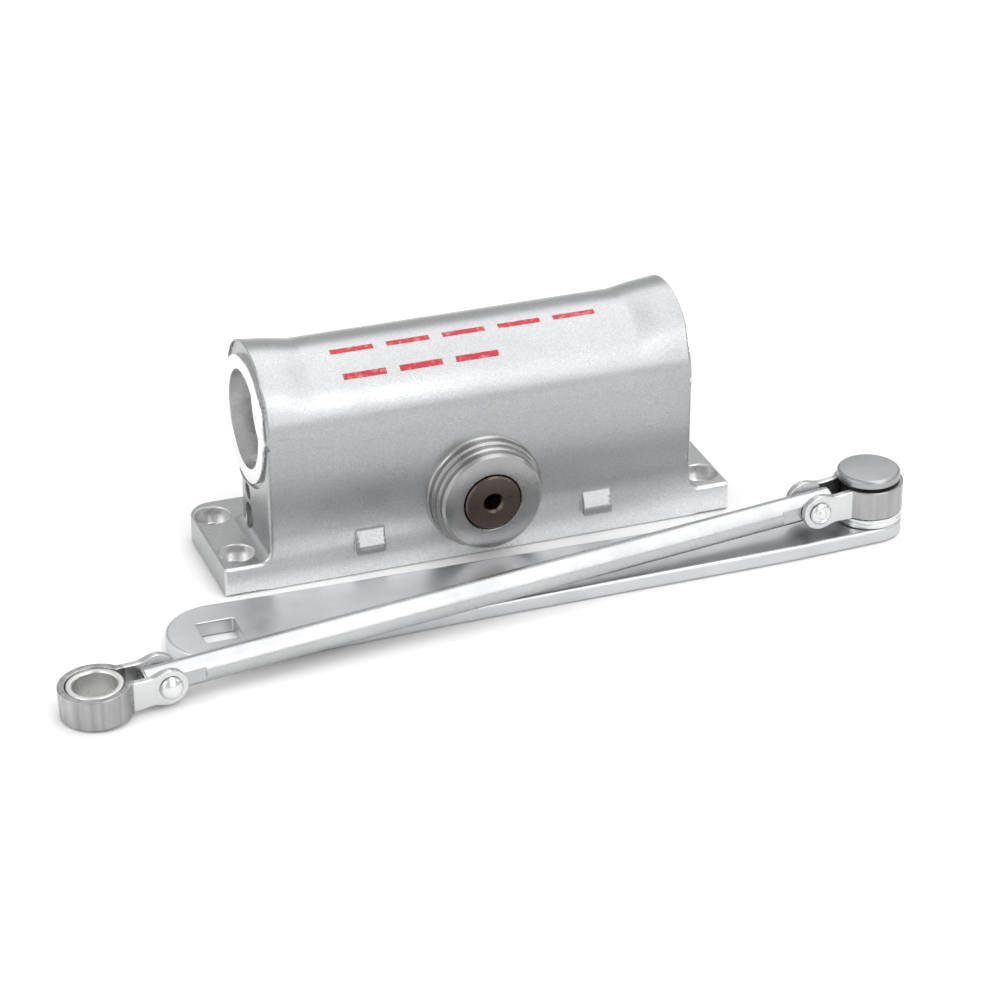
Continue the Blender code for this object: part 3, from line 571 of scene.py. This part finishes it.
def add_piece(name, mesh, body, material, nodes=()):
    piece = bpy.data.objects.new(name, mesh)
    bpy.context.scene.collection.objects.link(piece)
    mesh.materials.append(material)
    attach(piece, body)
    if nodes:
        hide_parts(*nodes)


# ---------------------------------------------------------------- the casting


def barrel_end_field(ends, from_axis, up):
    """The barrel with its flared ends: full at the top, fading towards the flat front."""
    rise = np.clip((ends - FLARE_START) / (FLARE_END - FLARE_START), 0, 1)
    swell = rise + 0.35 * np.sin(math.pi * rise) * rise * (1 - rise)
    flare = FLARE_HEIGHT * swell * (0.12 + 0.88 * smooth_step(up, 0.35, 0.95))
    end_face = ends - END_FACE + END_LEAN * (from_axis - RING_R - 0.2)
    softness = 0.3 + 1.1 * smooth_step(-up, -0.82, -0.5)
    return meet(from_axis - BARREL_R - flare, end_face, softness)


def casting_field(p):
    x, y, z = p[:, 0], p[:, 1], p[:, 2]
    along = x - PINION[0]
    ends = np.abs(along)
    from_axis = np.sqrt(y * y + (z - BARREL_Z) ** 2)
    up = (z - BARREL_Z) / np.maximum(from_axis, 1)
    plan = rounded_plan(x, y + FAR - HALF_DEPTH, BASE_HALF, FAR, BACK_CORNER)
    base = meet(meet(plan, z - EAR_THICK, 1.1), -z, 0.4)
    web = meet(slab(y, -FAR, WEB_BACK), ends - WEB_HALF, 1.2)
    web = meet(web, z - BARREL_Z)
    body = join(web, base, EAR_FILLET)
    body = meet(body, -HALF_DEPTH - y, FRONT_CORNER)
    barrel = barrel_end_field(ends, from_axis, up)
    body = join(body, barrel, 3.0 * smooth_step(y, -4, 4))
    rear = meet(slab(y, 0, HALF_DEPTH), ends - REAR_BLOCK_HALF, 2.0)
    rear = meet(rear, z - REAR_BLOCK_TOP, 2.0)
    body = join(body, rear, 4.0 * smooth_step(y, 0, 8))
    body = meet(meet(body, np.abs(y) - HALF_DEPTH), -z, 0.4)
    # The groove round each machined ring, wide at the top and narrow below.
    groove = RING_R + 2.2 + 2.4 * smooth_step(up, 0.3, 0.9)
    body = cut(body, meet(from_axis - groove, GROOVE_FLOOR - ends), 0.3)
    for side in (-LUG_FROM_PINION, LUG_FROM_PINION):
        across = np.abs(along - side) - LUG_HALF
        ramp = (z - LUG_HIGH) * LUG_SLOPE[1] - (y + HALF_DEPTH) * LUG_SLOPE[0]
        ramp = ramp / math.hypot(*LUG_SLOPE)
        lug = meet(meet(ramp, LUG_FACE - y, 0.3), LUG_LOW - z, 0.3)
        lug = meet(meet(lug, across, 0.4), y + HALF_DEPTH - 3)
        body = join(body, lug, 0.35)
    between_mouths = np.minimum(x - MOUTH_LEFT, MOUTH_RIGHT - x)
    mouths = np.maximum(from_axis - LINER_R, between_mouths)
    body = cut(body, np.minimum(from_axis - BORE_R, mouths))
    off = np.sqrt(along**2 + (z - PINION[2]) ** 2)
    front_r, middle_r, back_r = CROSS_RADII
    cross = meet(off - front_r, y - CROSS_FRONT)
    cross = np.minimum(cross, meet(off - middle_r, slab(y, CROSS_FRONT, CROSS_BACK)))
    cross = np.minimum(cross, meet(off - back_r, CROSS_BACK - y))
    body = cut(body, cross)
    hole = np.sqrt((np.abs(x) - HOLE_X) ** 2 + (np.abs(y) - HOLE_Y) ** 2)
    body = cut(body, meet(hole - COUNTERBORE_R, COUNTERBORE_FLOOR - z), 0.5)
    body = cut(body, hole - HOLE_R, 0.3)
    inward = x - WEB_LEFT
    for port_y, port_z, wide, deep, narrow, far in VALVE_PORTS:
        port = np.sqrt((y - port_y) ** 2 + (z - port_z) ** 2)
        body = cut(body, meet(port - wide, inward - deep), 0.35)
        body = cut(body, meet(port - narrow, inward - far))
    return body


def thread(start, end, major, depth, pitch):
    """Profile points of a thread seen as rings, from start to end along the axis."""
    points = []
    count = max(1, round(abs(end - start) / pitch))
    step = (end - start) / count
    for i in range(count):
        points.append((major, start + i * step))
        points.append((major, start + (i + 0.15) * step))
        points.append((major - depth, start + (i + 0.5) * step))
        points.append((major - depth, start + (i + 0.65) * step))
    points.append((major, end))
    return points


def build_casting():
    along_x = ticks((-106.3, -62, 0.62), (-62, 64, 1.3), (64, 106.3, 0.62))
    axes = [along_x, ticks((-33.0, 29.9, 0.78)), ticks((-1.0, 92.3, 0.78))]
    mesh = mesh_of_field("cast_housing", casting_field, axes)
    add_piece("cast_housing", mesh, "housing", CAST, ["closer_housing"])
    # Each barrel mouth: the machined ring, the turned bore and its thread, from outside in.
    mouth_frame = place_frame((PINION[0], 0, BARREL_Z), (1, 0, 0), (0, 1, 0))
    for side, sign, thread_start, thread_end, inner in (
        ("left", -1, 79.6, 73.2, 62.2),
        ("right", 1, 86.6, 81.6, 70.8),
    ):
        profile = [(RING_R, 86.0), (RING_R, RING_FACE), (PLUG_BORE_R + 0.2, RING_FACE)]
        profile += [(PLUG_BORE_R, RING_FACE - 0.2), (PLUG_BORE_R, thread_start)]
        profile += thread(thread_start, thread_end, PLUG_BORE_R, 0.75, 1.5)
        profile += [(PLUG_BORE_R, inner), (LINER_R, inner), (LINER_R, 86.0)]
        if sign > 0:
            profile = profile[::-1]
        profile = [(r, sign * h) for r, h in profile]
        liner = lathe_mesh(side + "_barrel_mouth", profile[::-1], 128, 0.15, mouth_frame)
        add_piece(side + "_barrel_mouth", liner, "housing", MACHINED)
    # The turned pinion bosses, their steps drawn a little inside the CAD's.
    fillet = [(24.2, 27.0)]
    for k in range(7):
        a = math.radians(90 * k / 6)
        fillet.append((24.2 - 1.35 * math.sin(a), 29.7 - 1.45 * math.cos(a)))
    outer = fillet + [(22.85, 31.7), (21.8, 32.0), (21.7, 34.6), (20.75, 35.0)]
    boss = [(15.1, 22.0), (22.0, 22.0)] + outer + [(20.6, 37.6), (19.5, BOSS_FACE)]
    boss += [(12.1, BOSS_FACE), (11.75, BOSS_FACE - 0.35), (11.75, 35.0), (14.6, 35.0)]
    boss += [(14.6, 31.0), (15.1, 31.0)]
    front = lathe_mesh("front_pinion_boss", boss, 128, 0.3, place_frame(PINION, (0, -1, 0)))
    add_piece("front_pinion_boss", front, "housing", BOSS_METAL)
    rear_ring = [(20.9, 24.5), (23.2, 24.5)] + outer[1:-2] + [(21.7, 34.9), (20.9, 34.9)]
    rear = lathe_mesh("rear_pinion_boss", rear_ring, 128, 0.3, place_frame(PINION, (0, 1, 0)))
    add_piece("rear_pinion_boss", rear, "housing", BOSS_METAL)


# ---------------------------------------------------------------- the arm set


def arm_outline():
    """Plan of the flat arm: a big eye, a straight taper, and the small elbow end."""
    y = ELBOW[1]
    points = []
    for k in range(61):
        a = math.radians(91.5 + (266.9 - 91.5) * k / 60)
        points.append((HUB_X + HUB_R * math.cos(a), y + HUB_R * math.sin(a)))
    points += [(-60, y - 18.35), (-30, y - 17.35), (-3, y - 16.75), (40, y - 16.4), (90, y - 16.1)]
    points += [(112, y - 15.75), (130, y - 14.9)]
    for k in range(49):
        a = math.radians(-84 + (91.5 + 84) * k / 48)
        points.append((ELBOW[0] + TIP_R * math.cos(a), y + TIP_R * math.sin(a)))
    return points


def arm_field(p):
    x, y, z = p[:, 0], p[:, 1], p[:, 2]
    bar = meet(outline(x, y, ARM_POINTS), slab(z, 0, ARM_THICK), 1.15)
    square = rounded_plan(x - HUB_X, y - ELBOW[1], SQUARE_HALF, SQUARE_HALF, 0.9)
    bar = cut(bar, square, 0.45)
    pivot = np.sqrt((x - ELBOW[0]) ** 2 + (y - ELBOW[1]) ** 2) - STUD_HOLE_R
    return cut(bar, pivot, 0.3)


def strap_field(p):
    """The bent strap, its eye on the own Z axis and its two legs towards +X."""
    x, y, z = p[:, 0], p[:, 1], p[:, 2]
    around = np.sqrt(x * x + y * y)
    ring = meet(np.abs(around - 12.455) - 1.405, np.abs(z) - STRAP_HALF, 0.45)
    mouth = meet(slab(y, -LEG_INSIDE, LEG_INSIDE), 2 - x)
    ring = cut(ring, mouth, 0.3)
    leg_side = slab(np.abs(y), LEG_INSIDE, LEG_OUTSIDE)
    waist = 0.35 * smooth_step(x, 12, 18) * (1 - smooth_step(x, 18, 24))
    lobe = np.sqrt((x - RIVET_REACH) ** 2 + z * z) - 6.9
    blade = join(meet(np.abs(z) - STRAP_HALF + waist, slab(x, 9.6, RIVET_REACH)), lobe, 2.0)
    leg = meet(blade, leg_side, 0.45)
    body = join(ring, leg, 0.25)
    body = cut(body, around - STRAP_BORE_R)
    return cut(body, np.sqrt((x - RIVET_REACH) ** 2 + z * z) - RIVET_HOLE_R)


def rod_field(p):
    """The round rod along its own Z, with flats milled at both ends."""
    x, y, z = p[:, 0], p[:, 1], p[:, 2]
    around = np.sqrt(x * x + y * y)
    rod = meet(around - ROD_R, slab(z, -TONGUE_REACH, ROD_LENGTH + TONGUE_REACH), 0.9)
    for low, high in ((-20, FLAT_LENGTH), (ROD_LENGTH - FLAT_LENGTH, ROD_LENGTH + 20)):
        flat = meet(FLAT_HALF - np.abs(y), slab(z, low, high), 0.3)
        rod = cut(rod, flat, 0.15)
    for spot in (0, ROD_LENGTH):
        rod = cut(rod, np.sqrt(x * x + (z - spot) ** 2) - RIVET_HOLE_R)
    return rod


ARM_POINTS = arm_outline()


def build_flat_arm():
    y = ELBOW[1]
    axes = [ticks((-139, 166, 0.9)), ticks((y - 22, y + 22, 0.9)), ticks((-0.9, 7.2, 0.55))]
    mesh = mesh_of_field("flat_arm", arm_field, axes)
    add_piece("flat_arm", mesh, "main_arm_and_pivot", ARM_FLAT, ["main_arm"])


def build_elbow_stud():
    up = place_frame((ELBOW[0], ELBOW[1], 0), (0, 0, 1))
    r, top, low = STUD_CAP_R, ELBOW[2] + STRAP_HALF, ARM_THICK + 0.3
    stud = [(0, top + 4.6), (11.4, top + 4.6), (r - 0.25, top + 4.1), (r, top + 3.5)]
    stud += [(r, top + 1.3), (r - 0.3, top + 0.8), (7.95, top + 0.8), (7.95, low)]
    stud += [(4.95, low), (4.95, 0.6), (4.6, 0.25), (0, 0.25)]
    cap = lathe_mesh("elbow_stud", stud[::-1], 128, 0.3, up)
    add_piece("elbow_stud", cap, "main_arm_and_pivot", CAP_METAL, ["elbow_pivot"])
    r, high = WASHER_R, ELBOW[2] - STRAP_HALF - 0.3
    half = (low + high) / 2
    washer = [(8.25, low), (r, low), (r, half - 0.25), (r - 0.35, half), (r, half + 0.25)]
    washer += [(r, high), (8.25, high)]
    disc = lathe_mesh("elbow_thrust_washer", washer, 128, 0.3, up)
    body, nodes = "main_arm_and_pivot", ["elbow_washer"]
    add_piece("elbow_thrust_washer", disc, body, PLATED, nodes)


def rivet_profile(flat_topped):
    """Half the section of a rivet with a head at both ends, from top to bottom."""
    f = RIVET_HEAD
    if flat_topped:
        head = [(0, f + 1.9), (1.5, f + 1.9), (2.0, f + 1.35), (2.8, f + 1.35), (3.4, f + 1.7)]
        head += [(4.3, f + 1.0), (4.6, f)]
    else:
        angles = np.linspace(0, 1.5, 9)
        head = [(4.6 * math.sin(a), f - 0.2 + 2.9 * math.cos(a)) for a in angles]
        head += [(4.55, f)]
    return head + [(2.9, f), (2.9, -f)] + [(r, -h) for r, h in head[::-1]]


def build_knuckles():
    """At each end of the rod: a bent strap, the sleeve in its eye, and its rivet."""
    axes = [ticks((-15, 34.2, 0.42)), ticks((-15, 15, 0.42)), ticks((-7.6, 7.6, 0.42))]
    strap = mesh_of_field("strap", strap_field, axes)
    elbow_frame = place_frame(ELBOW, (0, 0, 1), LEVEL)
    eye_frame = place_frame(EYE, EYE_UP, EYE_TOWARD)
    # The elbow's sleeve takes the painted shade; the eye's sleeve is bronze.
    for end, matrix, rivet_at, skin, sleeve_skin in (
        ("elbow", elbow_frame, ELBOW_RIVET, ELBOW_STRAP, SLEEVE_PAINTED_SHADE),
        ("eye", eye_frame, EYE_RIVET, EYE_STRAP, BRONZE),
    ):
        body = end + "_knuckle"
        mesh = strap.copy()
        turned_normals(mesh, matrix)
        add_piece(end + "_bent_strap", mesh, body, skin, [end + "_strap"])
        bush = [(10.75, -5.5), (10.75, 5.5), (10.45, 5.8), (8.8, 5.8), (8.3, 5.3), (8.3, -5.3)]
        bush += [(8.8, -5.8), (10.45, -5.8)]
        sleeve = lathe_mesh(end + "_sleeve", bush, 96, 0.3, matrix)
        add_piece(end + "_sleeve", sleeve, body, sleeve_skin, [end + "_bush"])
        name, profile = end + "_headed_rivet", rivet_profile(end == "elbow")
        rivet = lathe_mesh(name, profile[::-1], 64, 0.25, place_frame(rivet_at, -SIDEWAYS))
        add_piece(name, rivet, body, PLATED, [end + "_rivet"])
    bpy.data.meshes.remove(strap)


def build_rod():
    across, along = ticks((-6.3, 6.3, 0.5)), ticks((-9.4, ROD_LENGTH + 9.4, 0.9))
    mesh = mesh_of_field("jointed_rod", rod_field, [across, across, along])
    turned_normals(mesh, place_frame(ELBOW_RIVET, EYE_RIVET - ELBOW_RIVET, (0, 0, 1)))
    add_piece("jointed_rod", mesh, "forearm", ROD_METAL, ["forearm_rod"])


def turned_normals(mesh, matrix):
    """Move the mesh by a matrix together with its own corner normals."""
    count = len(mesh.loops)
    normals = np.empty(count * 3, np.float32)
    mesh.corner_normals.foreach_get("vector", normals)
    turn = np.array(matrix.to_3x3())
    mesh.transform(matrix)
    mesh.normals_split_custom_set((normals.reshape(-1, 3) @ turn.T).tolist())


# ---------------------------------------------------------------- what stays from the CAD


def dress(node, material):
    target = NODES[node]
    target.data.materials.clear()
    target.data.materials.append(material)


def dress_inner_parts():
    for material, names in (
        (STEEL, ("left_end_plug", "right_end_plug", "rear_bearing_cap", "check_valve_ball")),
        (STEEL, ("sweep_valve_screw", "latch_valve_screw", "check_valve_retainer")),
        (DARK, ("pinion",)),
        (IRON, ("piston",)),
        (SPRING, ("closing_spring",)),
        (BRONZE, ("pinion_bearing_front", "pinion_bearing_rear")),
        (RUBBER, [name for name in NODES if "o_ring" in name or "seal" in name]),
    ):
        for name in names:
            dress(name, material)


# ---------------------------------------------------------------- the studio


def area_light(name, at, target, size, power):
    data = bpy.data.lights.new(name, "AREA")
    data.shape = "RECTANGLE"
    data.size, data.size_y = size
    data.energy = power
    lamp = bpy.data.objects.new(name, data)
    lamp.location = at
    lamp.rotation_euler = (Vector(target) - Vector(at)).to_track_quat("-Z", "Y").to_euler()
    bpy.context.scene.collection.objects.link(lamp)


# Softboxes: name, place in m, size in m, power in W.
SOFTBOXES = (
    ("front_strip", (0.205, -0.92, 0.66), (0.045, 0.45), 0.5),
    ("left_softbox", (-1.05, -0.28, 0.88), (0.6, 0.6), 2.5),
    ("right_softbox", (1.19, -0.28, 0.70), (0.6, 0.6), 1.15),
)


def build_sky():
    """A grey room with one bright arch overhead, across the barrel, and a paler left side."""
    world = bpy.data.worlds.new("studio")
    bpy.context.scene.world = world
    world.use_nodes = True
    tree = world.node_tree
    coords = tree.nodes.new("ShaderNodeTexCoord")
    split = tree.nodes.new("ShaderNodeSeparateXYZ")
    tree.links.new(coords.outputs["Generated"], split.inputs[0])

    def ramp(socket, low, high, from_value, to_value):
        node = tree.nodes.new("ShaderNodeMapRange")
        node.interpolation_type = "SMOOTHSTEP"
        for target, number in zip(list(node.inputs)[1:5], (low, high, from_value, to_value)):
            target.default_value = number
        tree.links.new(socket, node.inputs[0])
        return node.outputs[0]

    def math_node(operation, a, b):
        node = tree.nodes.new("ShaderNodeMath")
        node.operation = operation
        for target, item in zip(node.inputs, (a, b)):
            if isinstance(item, float):
                target.default_value = item
            else:
                tree.links.new(item, target)
        return node.outputs[0]

    height = math_node("MULTIPLY", split.outputs["Y"], -1.0)
    height = math_node("ARCTAN2", split.outputs["Z"], height)
    arch = ramp(height, math.radians(2), math.radians(12), 0.0, SKY_ARCH - SKY_FILL)
    for socket, low, high, from_value, to_value in (
        (height, math.radians(134), math.radians(149), 1.0, 0.0),
        (split.outputs["X"], -0.08, 0.14, 0.0, 1.0),
        (split.outputs["X"], 0.46, 0.68, 1.0, 0.0),
    ):
        arch = math_node("MULTIPLY", arch, ramp(socket, low, high, from_value, to_value))
    left = ramp(split.outputs["X"], -0.8, -0.3, SKY_LEFT, SKY_FILL)
    total = math_node("ADD", arch, left)
    tree.links.new(total, tree.nodes["Background"].inputs["Strength"])
    tree.nodes["Background"].inputs["Color"].default_value = (1, 1, 1, 1)


def build_studio():
    floor_mesh = bpy.data.meshes.new("floor")
    s = 6.0
    floor_mesh.from_pydata([(-s, -s, 0), (s, -s, 0), (s, s, 0), (-s, s, 0)], [], [(0, 1, 2, 3)])
    floor = bpy.data.objects.new("floor", floor_mesh)
    floor.location.z = -0.0003
    bpy.context.scene.collection.objects.link(floor)
    paint = Paint("pale_floor", (0.95, 0.95, 0.95), 0.0, 0.6)
    paint.tint(paint.noise(3, 2), 0.99, 1.01)
    floor_mesh.materials.append(paint.done())

    build_sky()
    for name, at, size, power in SOFTBOXES:
        area_light(name, at, (0, 0, 0.05), size, power)

    camera = bpy.data.cameras.new("camera")
    camera.lens = CAMERA_LENS
    camera.sensor_width = 36.0
    camera.clip_end = 30
    eye = bpy.data.objects.new("camera", camera)
    eye.location = CAMERA_AT
    eye.rotation_euler = (math.radians(CAMERA_PITCH), 0, math.radians(CAMERA_YAW))
    bpy.context.scene.collection.objects.link(eye)
    bpy.context.scene.camera = eye
    bpy.context.scene.view_settings.view_transform = "Standard"


build_casting()
build_flat_arm()
build_elbow_stud()
build_knuckles()
build_rod()
dress_inner_parts()
build_studio()
